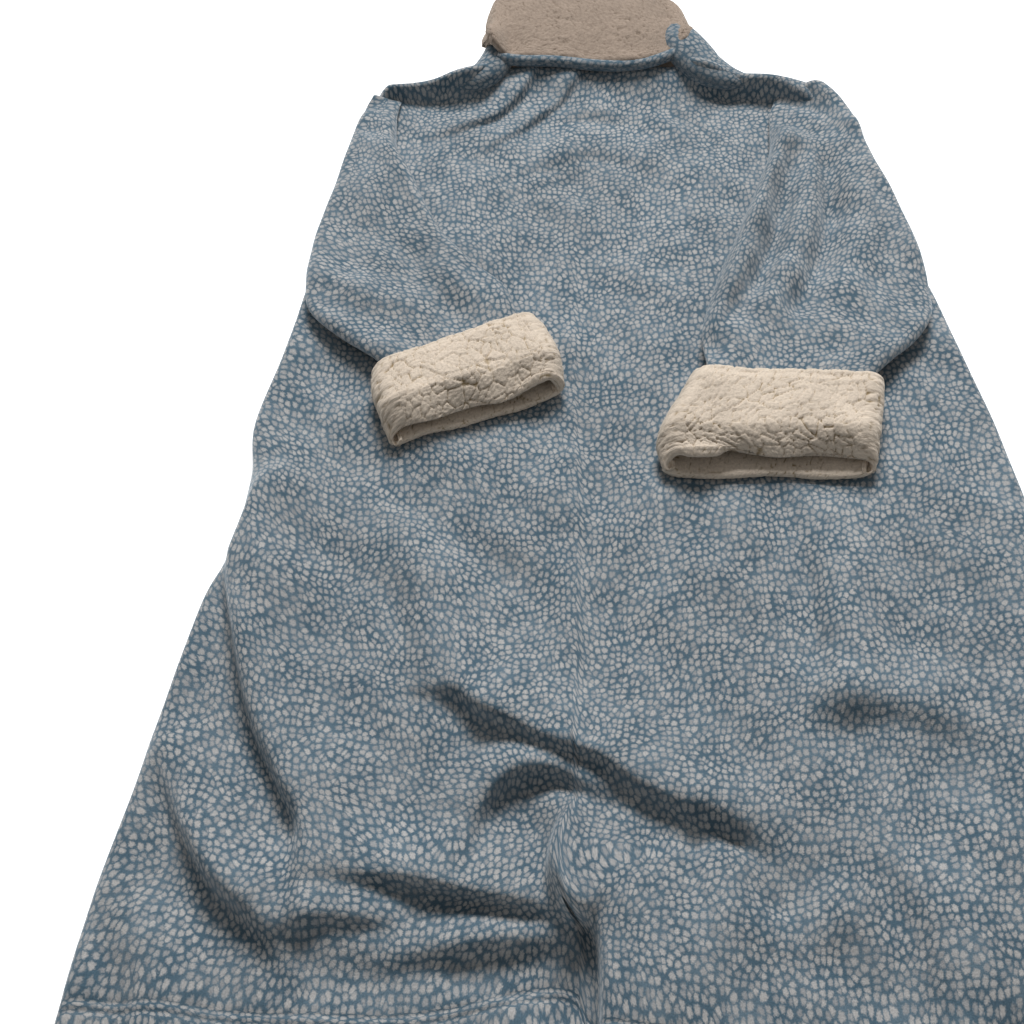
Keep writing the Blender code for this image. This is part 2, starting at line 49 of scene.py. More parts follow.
BODY_HEIGHT = 2 * WALL + LAYER_GAP
SIDE_SEAM_Z = 0.0099
LOWEST_BACK_Z = 2 * WALL + 0.0006
HIGHEST_BACK_Z = 0.078
FRONT_TOP_Z = WALL + 0.0006
NECK_Y = 1.072
NECK_HALF = 0.100
SHOULDER_HALF = 0.256
SHOULDER_SLOPE = 0.22
CENTRE_GAP = 0.001
BACK_SHELL = 0.0055
HEM_ROUND = 0.006
STITCH_ROWS = (0.024, 0.031)
STITCH_GROOVE = 0.0013
STITCH_REACH = 0.0022

# The robe is drawn from its hem and centre back, and stands in the frame's place
PLACE = np.array((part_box("front_right")[0].x - CENTRE_GAP,
                  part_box("back_panel")[1].y - NECK_Y, 0.0))

Station = namedtuple("Station", "y left right")
BODY_SECTIONS = (
    Station(-0.03, 0.424, 0.418),
    Station(0.10, 0.410, 0.404),
    Station(0.20, 0.392, 0.388),
    Station(0.29, 0.377, 0.374),
    Station(0.37, 0.362, 0.362),
    Station(0.42, 0.345, 0.351),
    Station(0.50, 0.336, 0.342),
    Station(0.56, 0.340, 0.336),
    Station(0.65, 0.322, 0.322),
    Station(0.735, 0.308, 0.308),
    Station(0.80, 0.297, 0.292),
    Station(0.88, 0.281, 0.278),
    Station(0.97, 0.262, 0.264),
    Station(1.06, 0.252, 0.252),
)

HemStation = namedtuple("HemStation", "side y")
HEM_LINE = (
    HemStation(-1.00, 0.006),
    HemStation(-0.70, -0.004),
    HemStation(-0.42, -0.006),
    HemStation(-0.24, 0.010),
    HemStation(-0.15, 0.010),
    HemStation(-0.08, -0.020),
    HemStation(0.30, -0.026),
    HemStation(0.70, -0.012),
    HemStation(1.00, 0.000),
)

# Walking along a fold, its steep side is on the right hand, and its crest
# leans out over that side. Start and end are shares of the rise.
Fold = namedtuple("Fold", "name path rise steep gentle start end lean")
BACK_FOLDS = (
    Fold("thigh drape", ((-0.168, 0.273), (-0.148, 0.268), (-0.129, 0.252),
                         (-0.096, 0.236), (-0.060, 0.222), (-0.034, 0.206),
                         (-0.010, 0.184), (0.016, 0.168)),
         0.030, 0.020, 0.090, 0.3, 0.45, 0.014),
    Fold("drape end", ((0.010, 0.186), (0.036, 0.176), (0.060, 0.162),
                       (0.086, 0.140)),
         0.015, 0.020, 0.040, 0.5, 0.2, 0.006),
    Fold("skirt overlap", ((-0.056, 0.190), (-0.070, 0.156), (-0.073, 0.126),
                           (-0.062, 0.101), (-0.045, 0.082), (-0.040, 0.050),
                           (-0.043, -0.030)),
         0.036, 0.027, 0.120, 0.3, 1.0, 0.017),
    Fold("arched crease", ((-0.136, 0.152), (-0.120, 0.189), (-0.098, 0.204),
                           (-0.070, 0.203), (-0.046, 0.186)),
         0.024, 0.020, 0.036, 0.3, 0.5, 0.010),
    Fold("small dome", ((-0.074, 0.176), (-0.064, 0.150)),
         0.010, 0.024, 0.028, 1.0, 1.0, 0.0),
    Fold("low drape", ((-0.235, 0.117), (-0.178, 0.116), (-0.127, 0.106),
                       (-0.092, 0.098), (-0.064, 0.091)),
         0.026, 0.021, 0.050, 0.3, 0.8, 0.013),
    Fold("low drape tip", ((-0.262, 0.084), (-0.225, 0.092), (-0.172, 0.087)),
         0.012, 0.018, 0.026, 0.5, 0.3, 0.006),
    Fold("hem roll", ((-0.195, 0.062), (-0.155, 0.071), (-0.120, 0.076),
                      (-0.066, 0.079)),
         0.015, 0.022, 0.024, 0.4, 0.9, 0.006),
    Fold("hem hollow", ((-0.140, 0.052), (-0.100, 0.050)),
         -0.008, 0.020, 0.020, 0.8, 0.8, 0.0),
    Fold("side fold", ((-0.326, 0.474), (-0.340, 0.405), (-0.326, 0.335),
                       (-0.303, 0.252), (-0.276, 0.196), (-0.260, 0.160),
                       (-0.254, 0.098)),
         0.030, 0.024, 0.070, 0.3, 0.4, 0.013),
    Fold("side fold head", ((-0.330, 0.510), (-0.314, 0.430), (-0.280, 0.310)),
         0.012, 0.024, 0.060, 0.4, 0.1, 0.0),
    Fold("outer fold", ((-0.372, 0.215), (-0.345, 0.165), (-0.317, 0.120),
                        (-0.290, 0.095), (-0.266, 0.060)),
         0.028, 0.025, 0.060, 0.3, 0.3, 0.012),
    Fold("outer fold low", ((-0.385, 0.110), (-0.355, 0.050), (-0.345, -0.020)),
         0.014, 0.030, 0.050, 0.3, 1.0, 0.0),
    Fold("outer lobe trough", ((-0.352, 0.310), (-0.351, 0.245)),
         -0.007, 0.016, 0.016, 0.4, 0.4, 0.0),
    Fold("waist swell", ((-0.190, 0.600), (-0.120, 0.470), (0.020, 0.400)),
         0.005, 0.110, 0.110, 0.6, 0.6, 0.0),
    Fold("diagonal ridge", ((-0.290, 0.500), (-0.190, 0.405), (-0.130, 0.345)),
         0.007, 0.055, 0.060, 0.4, 0.3, 0.0),
    Fold("diagonal trough", ((-0.258, 0.516), (-0.167, 0.438), (-0.112, 0.386)),
         -0.005, 0.024, 0.030, 0.3, 0.3, 0.0),
    Fold("hip ridge", ((-0.190, 0.420), (-0.165, 0.360), (-0.150, 0.290)),
         0.007, 0.040, 0.060, 0.3, 0.5, 0.0),
    Fold("hip trough", ((-0.216, 0.404), (-0.207, 0.350), (-0.189, 0.262)),
         -0.006, 0.024, 0.030, 0.4, 0.4, 0.0),
    Fold("cuff pull", ((-0.052, 0.600), (-0.054, 0.560), (-0.040, 0.520)),
         -0.004, 0.014, 0.022, 0.8, 0.2, 0.0),
    Fold("right skirt ridge", ((0.050, 0.170), (0.052, 0.110), (0.046, 0.050)),
         0.006, 0.036, 0.040, 0.3, 0.4, 0.0),
    Fold("right skirt crease", ((0.033, 0.169), (0.028, 0.127), (0.032, 0.077)),
         -0.004, 0.012, 0.016, 0.4, 0.3, 0.0),
    Fold("right skirt bowl", ((0.060, 0.096), (0.095, 0.078), (0.140, 0.108)),
         0.007, 0.030, 0.034, 0.4, 0.5, 0.0),
    Fold("right skirt dimple", ((0.069, 0.117), (0.092, 0.099), (0.123, 0.134)),
         -0.005, 0.012, 0.018, 0.4, 0.4, 0.0),
    Fold("drape end crease", ((0.027, 0.177), (0.048, 0.164), (0.076, 0.141)),
         -0.006, 0.012, 0.018, 0.5, 0.3, 0.0),
    Fold("right hip ridge", ((0.169, 0.440), (0.166, 0.360), (0.155, 0.285)),
         0.013, 0.034, 0.056, 0.3, 0.6, 0.004),
    Fold("right hip trough", ((0.122, 0.462), (0.130, 0.400), (0.135, 0.300)),
         -0.007, 0.022, 0.026, 0.4, 0.5, 0.0),
    Fold("right hip drape", ((0.120, 0.262), (0.190, 0.270), (0.260, 0.245)),
         0.012, 0.032, 0.056, 0.3, 0.5, 0.004),
    Fold("right side fold", ((0.256, 0.050), (0.290, 0.170), (0.325, 0.300),
                             (0.328, 0.440)),
         0.018, 0.030, 0.080, 0.5, 0.3, 0.006),
    Fold("right hem fold", ((0.180, 0.150), (0.200, 0.060), (0.195, -0.035)),
         0.014, 0.032, 0.060, 0.3, 1.0, 0.004),
    Fold("back arc", ((-0.150, 0.868), (-0.080, 0.905), (-0.015, 0.938),
                      (0.050, 0.905)),
         0.007, 0.036, 0.060, 0.3, 0.3, 0.0),
    Fold("back arc crease", ((-0.142, 0.872), (-0.079, 0.896), (-0.017, 0.922),
                             (0.040, 0.895)),
         -0.003, 0.012, 0.016, 0.3, 0.3, 0.0),
    Fold("neck rise", ((-0.150, 1.066), (-0.060, 1.066), (0.030, 1.062), (0.100, 1.070)),
         0.020, 0.060, 0.055, 0.7, 0.7, 0.0),
    Fold("nape arc", ((-0.060, 0.992), (-0.020, 1.000), (0.018, 0.996)),
         0.006, 0.020, 0.030, 0.4, 0.4, 0.003),
    Fold("left shoulder roll", ((-0.262, 1.006), (-0.236, 1.026), (-0.190, 1.034),
                                (-0.150, 1.038), (-0.120, 1.062)),
         0.026, 0.026, 0.032, 0.6, 0.8, 0.012),
    Fold("left yoke crease", ((-0.188, 0.958), (-0.130, 0.990), (-0.098, 1.022),
                              (-0.080, 1.052)),
         0.009, 0.012, 0.028, 0.3, 0.6, 0.006),
    Fold("inner yoke crease", ((-0.136, 0.934), (-0.076, 0.989), (-0.052, 1.016),
                               (-0.034, 1.044)),
         0.008, 0.011, 0.028, 0.3, 0.6, 0.005),
    Fold("right shoulder roll", ((0.082, 1.072), (0.100, 1.048), (0.142, 1.040),
                                 (0.190, 1.024), (0.226, 0.994), (0.246, 0.955)),
         0.028, 0.028, 0.040, 0.7, 0.5, 0.012),
    Fold("right yoke crease", ((0.116, 0.936), (0.090, 0.978), (0.062, 1.006)),
         -0.005, 0.018, 0.020, 0.3, 0.6, 0.0),
)
RIPPLES = ((41.0, 17.0, 0.4), (-23.0, 36.0, 1.9), (58.0, -31.0, 3.3),
           (19.0, 71.0, 5.0), (-77.0, 44.0, 0.9), (88.0, 63.0, 2.6),
           (-52.0, -95.0, 4.2))
RIPPLE_RISE = 0.0007


def curve_through(points, steps=10):
    """Samples of a smooth curve that passes through all the points."""
    knots = [np.array(point, float) for point in points]
    knots = [2 * knots[0] - knots[1]] + knots + [2 * knots[-1] - knots[-2]]
    samples = []
    for a, b, c, d in zip(knots, knots[1:], knots[2:], knots[3:]):
        for step in range(steps):
            t = step / steps
            samples.append(0.5 * (2 * b + (c - a) * t
                                  + (2 * a - 5 * b + 4 * c - d) * t ** 2
                                  + (3 * b - a - 3 * c + d) * t ** 3))
    samples.append(knots[-2])
    return np.array(samples)


def read_curve(rows, where):
    """Values of a table's other columns where its first column is given."""
    samples = curve_through(rows)
    columns = [np.interp(where, samples[:, 0], samples[:, k])
               for k in range(1, samples.shape[1])]
    return columns if len(columns) > 1 else columns[0]


def rolled(distance, radius):
    """A quarter round: 0 at an edge and 1 from the radius inwards."""
    share = np.clip(distance / radius, 0.0, 1.0)
    return np.sqrt(1.0 - (1.0 - share) ** 2)


def along_line(path):
    """Unit steps along a line in the plane."""
    step = np.gradient(path, axis=0)
    return step / np.hypot(step[:, 0], step[:, 1])[:, None]


def fold_moves(folds, x, y):
    """How far a table of folds lifts each point, and moves it in the plane."""
    rise = np.zeros_like(x)
    east = np.zeros_like(x)
    north = np.zeros_like(x)
    for fold in folds:
        path = curve_through(fold.path, 5)
        ahead = along_line(path)
        path = path + fold.lean * np.stack((-ahead[:, 1], ahead[:, 0]), axis=-1)
        nearest = np.full_like(x, np.inf)
        side = np.zeros_like(x)
        along = np.zeros_like(x)
        right_x = np.zeros_like(x)
        right_y = np.zeros_like(x)
        pieces = len(path) - 1
        for k in range(pieces):
            step = path[k + 1] - path[k]
            length = np.hypot(*step)
            dx = x - path[k][0]
            dy = y - path[k][1]
            share = np.clip((dx * step[0] + dy * step[1]) / length ** 2, 0, 1)
            away = np.hypot(dx - share * step[0], dy - share * step[1])
            left = (dy * step[0] - dx * step[1]) / length
            closer = away < nearest
            nearest = np.where(closer, away, nearest)
            side = np.where(closer, left / np.maximum(away, 1e-6), side)
            along = np.where(closer, (k + share) / pieces, along)
            heading = ahead[k] + share[..., None] * (ahead[k + 1] - ahead[k])
            right_x = np.where(closer, heading[..., 1], right_x)
            right_y = np.where(closer, -heading[..., 0], right_y)
        toward = np.clip(0.5 + 0.5 * side, 0, 1)
        width = fold.steep + (fold.gentle - fold.steep) * toward
        shape = np.cos(0.5 * np.pi * np.clip(nearest / width, 0, 1)) ** 2
        ends = np.interp(along, (0, 0.3, 0.7, 1), (fold.start, 1, 1, fold.end))
        rise += fold.rise * ends * shape
        push = fold.lean * ends * shape
        east += push * right_x
        north += push * right_y
    return rise, east, north


def ripple(x, y):
    """Slight unevenness of thick cloth that lies loose."""
    waves = [np.sin(across * x + along * y + turn) for across, along, turn in RIPPLES]
    return RIPPLE_RISE * np.sum(waves, axis=0)


def top_line(side):
    """Y of the shoulder and neck edge; side is -1 at the left tip, 1 right."""
    across = np.abs(side) * SHOULDER_HALF
    return NECK_Y - SHOULDER_SLOPE * np.maximum(0.0, across - NECK_HALF)


def half_width(y, side):
    left, right = read_curve(BODY_SECTIONS, y)
    return np.where(side < 0, left, right)


def back_crown(x, y):
    """Top of the back panel away from its rolled edges, before folds lean."""
    rise = fold_moves(BACK_FOLDS, x, y)[0] + ripple(x, y)
    return np.clip(BODY_HEIGHT + rise, LOWEST_BACK_Z, HIGHEST_BACK_Z)


def grid_normals(grid, ring=False):
    """Unit normals of a grid of points, one for each point."""
    if ring:
        across = np.roll(grid, -1, axis=1) - np.roll(grid, 1, axis=1)
    else:
        across = np.gradient(grid, axis=1)
    normal = np.cross(across, np.gradient(grid, axis=0))
    return normal / np.maximum(np.linalg.norm(normal, axis=-1), 1e-12)[..., None]


def evened(values, axis, reach):
    """Values averaged with their neighbours along one way of a grid."""
    weights = np.hanning(2 * reach + 1)[1:-1]
    pads = [(reach - 1, reach - 1) if way == axis else (0, 0) for way in (0, 1)]
    padded = np.pad(values, pads, mode="edge")
    return np.apply_along_axis(np.convolve, axis, padded, weights / weights.sum(), "valid")


def cloth_lengths(grid):
    """Where each point lies on the cloth when it is laid out flat, in metres."""
    across = np.linalg.norm(np.diff(grid, axis=1), axis=-1)
    across = np.concatenate((np.zeros((len(grid), 1)), np.cumsum(across, axis=1)), axis=1)
    across -= across[:, across.shape[1] // 2][:, None]
    down = np.linalg.norm(np.diff(grid, axis=0), axis=-1)
    down = np.concatenate((np.zeros((1, down.shape[1])), np.cumsum(down, axis=0)))
    rows, columns = across.shape
    across = evened(evened(across, 0, 2 + rows // 12), 1, 2 + columns // 14)
    down = evened(evened(down, 1, 2 + columns // 8), 0, 2 + rows // 20)
    return np.stack((across, down, np.zeros_like(down)), axis=-1)


def cloth_wall(name, outer, inner, ring, finish, marks=None):
    """A closed wall between two grids of points, each rows, columns and xyz.

    Faces of the outer grid point away from the inner one. The mesh keeps each
    point's place on the flat cloth, and any marks, as attributes.
    """
    rows, columns = outer.shape[:2]
    count = rows * columns
    number = np.arange(count).reshape(rows, columns)
    left = number if ring else number[:, :-1]
    right = np.roll(number, -1, axis=1)[:, :left.shape[1]]
    quads = np.stack((left[:-1], right[:-1], right[1:], left[1:]), axis=-1)
    quads = quads.reshape(-1, 4)
    faces = [quads, count + quads[:, ::-1]]
    rims = [number[0][::-1], number[-1]]
    if ring:
        rims = [np.append(rim, rim[0]) for rim in rims]
    else:
        rims += [number[:, 0], number[::-1, -1]]
    for rim in rims:
        a, b = rim[:-1], rim[1:]
        faces.append(np.stack((a, b, count + b, count + a), axis=-1))
    points = np.concatenate((outer.reshape(-1, 3), inner.reshape(-1, 3))) + PLACE
    mesh = bpy.data.meshes.new(name)
    mesh.from_pydata(points.tolist(), [], np.concatenate(faces).tolist())
    mesh.shade_smooth()
    flat = cloth_lengths(outer).reshape(-1, 3)
    attribute = mesh.attributes.new("flat", "FLOAT_VECTOR", "POINT")
    attribute.data.foreach_set("vector", np.concatenate((flat, flat)).ravel())
    for mark, values in (marks or {}).items():
        attribute = mesh.attributes.new(mark, "FLOAT", "POINT")
        attribute.data.foreach_set("value", np.concatenate((values, values)).ravel())
    mesh.materials.append(finish.material)
    piece = bpy.data.objects.new(name, mesh)
    bpy.context.scene.collection.objects.link(piece)
    return piece


class Wire:
    """A value in a finish's nodes, which Python's arithmetic works on."""

    def __init__(self, finish, socket):
        self.finish = finish
        self.socket = socket

    def math(self, operation, first, second):
        return self.finish.node("ShaderNodeMath", {"operation": operation},
                                {0: first, 1: second})

    def __add__(self, other):
        return self.math("ADD", self, other)

    def __sub__(self, other):
        return self.math("SUBTRACT", self, other)

    def __rsub__(self, other):
        return self.math("SUBTRACT", other, self)

    def __mul__(self, other):
        return self.math("MULTIPLY", self, other)

    __radd__ = __add__
    __rmul__ = __mul__


class Finish:
    """A material for one kind of cloth; its uniform values are set at once."""

    def __init__(self, name, uniform):
        self.material = bpy.data.materials.new(name)
        self.material.use_nodes = True
        self.shader = self.material.node_tree.nodes["Principled BSDF"]
        for socket, value in uniform.items():
            self.shader.inputs[socket].default_value = value

    def node(self, kind, settings, inputs, output=0):
        made = self.material.node_tree.nodes.new(kind)
        for key, value in settings.items():
            setattr(made, key, value)
        for key, value in inputs.items():
            if isinstance(value, Wire):
                self.material.node_tree.links.new(value.socket, made.inputs[key])
            else:
                made.inputs[key].default_value = value
        return Wire(self, made.outputs[output])

    def mark(self, name, output):
        return self.node("ShaderNodeAttribute", {"attribute_name": name}, {}, output)

    def scaled(self, vector, factors):
        return self.node("ShaderNodeVectorMath", {"operation": "MULTIPLY"},
                         {0: vector, 1: factors})

    def moved(self, vector, offset):
        return self.node("ShaderNodeVectorMath", {"operation": "ADD"},
                         {0: vector, 1: offset})

    def noise(self, vector, scale, detail=2.0, output=0):
        return self.node("ShaderNodeTexNoise", {},
                         {"Vector": vector, "Scale": scale, "Detail": detail}, output)

    def ease(self, value, low, high, bottom=0.0, top=1.0):
        return self.node("ShaderNodeMapRange", {"interpolation_type": "SMOOTHSTEP"},
                         {0: value, 1: low, 2: high, 3: bottom, 4: top})

    def blend(self, share, first, second, mode="MIX"):
        return self.node("ShaderNodeMix", {"data_type": "RGBA", "blend_type": mode},
                         {0: share, 6: first, 7: second}, 2)

    def feed(self, socket, wire):
        self.material.node_tree.links.new(wire.socket, self.shader.inputs[socket])

    def bump(self, height, strength, distance):
        self.feed("Normal", self.node("ShaderNodeBump", {}, {
            "Height": height, "Strength": strength, "Distance": distance}))


PEBBLE_ACROSS = 0.0054
PEBBLE_ALONG = 0.0067
PLUSH_DEEP = (0.070, 0.122, 0.165, 1)
PLUSH_BLUE = (0.115, 0.172, 0.218, 1)
PEBBLE_PALE = (0.290, 0.300, 0.312, 1)
PEBBLE_WHITE = (0.455, 0.445, 0.435, 1)


def printed_plush(name, contrast):
    """Dusty blue plush with a print of small pale pebbles, blurred by its pile."""
    finish = Finish(name, {"Roughness": 0.92, "Sheen Weight": 0.42,
                           "Sheen Roughness": 0.45, "Sheen Tint": (0.80, 0.88, 0.95, 1),
                           "Specular IOR Level": 0.12})
    flat = finish.mark("flat", "Vector")
    drift = finish.noise(flat, 16.0, 1.0, "Color")
    drift = finish.scaled(finish.moved(drift, (-0.5, -0.5, -0.5)), (2.0, 2.0, 0.0))
    fuzz = finish.noise(flat, 620.0, 2.0, "Color")
    fuzz = finish.scaled(finish.moved(fuzz, (-0.5, -0.5, -0.5)), (0.52, 0.52, 0.0))
    cells = finish.scaled(flat, (1 / PEBBLE_ACROSS, 1 / PEBBLE_ALONG, 1.0))
    cells = finish.moved(finish.moved(cells, drift), fuzz)
    edge = finish.node("ShaderNodeTexVoronoi",
                       {"voronoi_dimensions": "2D", "feature": "DISTANCE_TO_EDGE"},
                       {"Vector": cells, "Scale": 1.0, "Randomness": 0.82})
    middle = finish.node("ShaderNodeTexVoronoi",
                         {"voronoi_dimensions": "2D", "feature": "F1"},
                         {"Vector": cells, "Scale": 1.0, "Randomness": 0.82}, "Distance")
    chance = finish.node("ShaderNodeTexVoronoi",
                         {"voronoi_dimensions": "2D", "feature": "F1"},
                         {"Vector": cells, "Scale": 1.0, "Randomness": 0.82}, "Color")
    chance = finish.node("ShaderNodeSeparateColor", {}, {0: chance})
    patch = finish.noise(flat, 30.0, 2.0)
    reach = edge * 0.7 - middle * 0.55 - chance * 0.06 + patch * 0.14
    pebble = finish.ease(reach, -0.245, 0.140)
    pale = finish.blend(chance, PEBBLE_WHITE, PEBBLE_PALE)
    ground = finish.blend(finish.ease(patch, 0.35, 0.65), PLUSH_DEEP, PLUSH_BLUE)
    colour = finish.blend(pebble * contrast, ground, pale)
    pile = finish.noise(flat, 900.0, 3.0)
    worn = finish.noise(flat, 9.0, 2.0)
    shade = finish.ease(pile, 0.25, 0.75, 0.84, 1.14) * finish.ease(worn, 0.3, 0.7, 0.93, 1.07)
    shade = finish.node("ShaderNodeCombineColor", {}, {0: shade, 1: shade, 2: shade})
    finish.feed("Base Color", finish.blend(1.0, colour, shade, "MULTIPLY"))
    tufts = finish.noise(flat, 160.0, 2.0)
    finish.bump(pile * 0.35 + tufts * 0.65, 0.55, 0.0016)
    return finish


plush = printed_plush("plush", 0.95)


def body_sides():
    """Sides from -1 to 1, close together round the rolled side seams."""
    edge = np.array((0.0, 0.0006, 0.0018, 0.0036, 0.0060, 0.0095, 0.0140)) / 0.34
    return np.concatenate((edge - 1, np.linspace(-0.947, 0.947, 154), 1 - edge[::-1]))


def body_shares():
    """Shares of the length, close together at the hem, its stitches and the top."""
    hem = (0.0, 0.0010, 0.0025, 0.0045, 0.0070, 0.0105, 0.0145, 0.0185)
    stitches = np.arange(0.0215, 0.0340, 0.0012)
    run = np.linspace(0.0380, NECK_Y - 0.018, 206)
    top = NECK_Y - np.array((0.0140, 0.0095, 0.0060, 0.0036, 0.0018, 0.0006, 0.0))
    return np.concatenate((hem, stitches, run, top)) / NECK_Y


side, share = np.meshgrid(body_sides(), body_shares())
hem_y = read_curve(HEM_LINE, side)
top_y = top_line(side)
body_y = hem_y + share * (top_y - hem_y)
body_half = half_width(body_y, side)
body_x = side * body_half
lift, east, north = fold_moves(BACK_FOLDS, body_x, body_y)
roll = rolled((1 - np.abs(side)) * body_half, EDGE_ROLL)
roll = roll * rolled(top_y - body_y, EDGE_ROLL)
from_hem = body_y - hem_y
crown = np.clip(BODY_HEIGHT + lift + ripple(body_x, body_y), LOWEST_BACK_Z,
                HIGHEST_BACK_Z)
for row in STITCH_ROWS:
    crown = crown - STITCH_GROOVE * np.exp(-((from_hem - row) / STITCH_REACH) ** 2)
crown = crown - 0.0024 * (1 - rolled(from_hem, HEM_ROUND))
outer = np.stack((body_x + east * roll, body_y + north * roll,
                  SIDE_SEAM_Z + (crown - SIDE_SEAM_Z) * roll), axis=-1)
inner = outer - BACK_SHELL * grid_normals(outer)
inner[..., 2] = np.maximum(inner[..., 2], FRONT_TOP_Z + 0.0006)
back_panel = cloth_wall("back_panel_cloth", outer, inner, False, plush)
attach(back_panel, "root")
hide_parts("back_panel")

# Front panels
# The two fronts of the same bonded plush. They lie flat under the back, meet
# edge to edge down the centre, and are sewn to the back at the side seams.
V_NECK_Y = 0.700
FRONT_HEM_INSET = 0.006
FRONT_SIDE_Z = 0.0096


def v_neck(y):
    """Half the opening between the fronts: nearly shut, and a V above."""
    spread = (NECK_HALF - CENTRE_GAP) * (y - V_NECK_Y) / (NECK_Y - V_NECK_Y)
    return CENTRE_GAP + np.maximum(0.0, spread)


def front_grid(hand, inset):
    """Points of a front panel, and how far each is from its side and its top."""
    across = np.concatenate((np.linspace(0, 1, 9) ** 1.6 * 0.05,
                             np.linspace(0.07, 1.0, 34)))
    shares = np.concatenate((np.linspace(0, 0.975, 110),
                             1 - 0.0145 * np.linspace(1, 0, 7) ** 1.6))
    share, from_edge = np.meshgrid(shares, across, indexing="ij")
    level = share * NECK_Y
    width = half_width(level, np.full_like(level, hand))
    side = hand * (1 - from_edge * (1 - v_neck(level) / width))
    hem = read_curve(HEM_LINE, side) + FRONT_HEM_INSET
    top = top_line(side) - inset
    y = hem + share * (top - hem)
    outer_x = half_width(y, side) - inset
    reach = from_edge * (outer_x - v_neck(y))
    return hand * (outer_x - reach), y, reach, top - y


for name, hand in (("front_left", -1), ("front_right", 1)):
    x, y, from_side, from_top = front_grid(hand, 0.0)
    roll = rolled(from_side, EDGE_ROLL) * rolled(from_top, EDGE_ROLL)
    outer = np.stack((x, y, FRONT_SIDE_Z * (1 - roll)), axis=-1)
    x, y, from_side, from_top = front_grid(hand, WALL)
    roll = rolled(from_side, WALL) * rolled(from_top, WALL)
    inner = np.stack((x, y, FRONT_SIDE_Z - (FRONT_SIDE_Z - WALL) * roll), axis=-1)
    if hand < 0:
        outer, inner = outer[:, ::-1], inner[:, ::-1]
    front = cloth_wall(name + "_cloth", outer, inner, False, plush)
    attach(front, "root")
    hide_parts(name)

# Sleeves
# Two straight sleeves of the bonded plush, sewn in at the armholes and folded
# over the back, so that each is a soft flat tube that lies on the back panel.
SLEEVE_HEIGHT = 2 * WALL + LAYER_GAP
SLEEVE_ROLL = 0.014
SLEEVE_SHELL = 0.0050
SLEEVE_COLUMNS = 40
SLEEVE_END_HEIGHT = SLEEVE_HEIGHT - 0.004
SLEEVE_IN_CUFF = 0.013
CUFF_WALL = 0.009
CUFF_FIT = 0.00075
CUFF_HEIGHT = SLEEVE_HEIGHT + 2 * CUFF_FIT + 2 * CUFF_WALL

Section = namedtuple("Section", "side_x side_y centre_x centre_y height lift")
LEFT_SLEEVE = (
    Section(-0.256, 1.012, -0.226, 1.014, 0.004, 0.0),
    Section(-0.264, 0.996, -0.228, 0.996, 0.010, 0.0),
    Section(-0.270, 0.972, -0.229, 0.970, 0.017, 0.0),
    Section(-0.278, 0.932, -0.224, 0.912, SLEEVE_HEIGHT, 0.0),
    Section(-0.289, 0.862, -0.202, 0.860, SLEEVE_HEIGHT, 0.0),
    Section(-0.302, 0.785, -0.176, 0.792, SLEEVE_HEIGHT, 0.0),
    Section(-0.305, 0.726, -0.146, 0.744, SLEEVE_HEIGHT, 0.001),
    Section(-0.292, 0.674, -0.112, 0.712, SLEEVE_HEIGHT, 0.005),
)
RIGHT_SLEEVE = (
    Section(0.236, 1.014, 0.182, 1.014, 0.006, 0.0),
    Section(0.252, 0.988, 0.174, 0.988, 0.012, 0.0),
    Section(0.262, 0.958, 0.170, 0.954, 0.018, 0.0),
    Section(0.271, 0.925, 0.164, 0.912, SLEEVE_HEIGHT, 0.0),
    Section(0.285, 0.860, 0.142, 0.850, SLEEVE_HEIGHT, 0.0),
    Section(0.296, 0.790, 0.116, 0.782, SLEEVE_HEIGHT, 0.0),
    Section(0.299, 0.725, 0.091, 0.718, SLEEVE_HEIGHT, 0.001),
    Section(0.286, 0.662, 0.073, 0.652, SLEEVE_HEIGHT, 0.005),
)
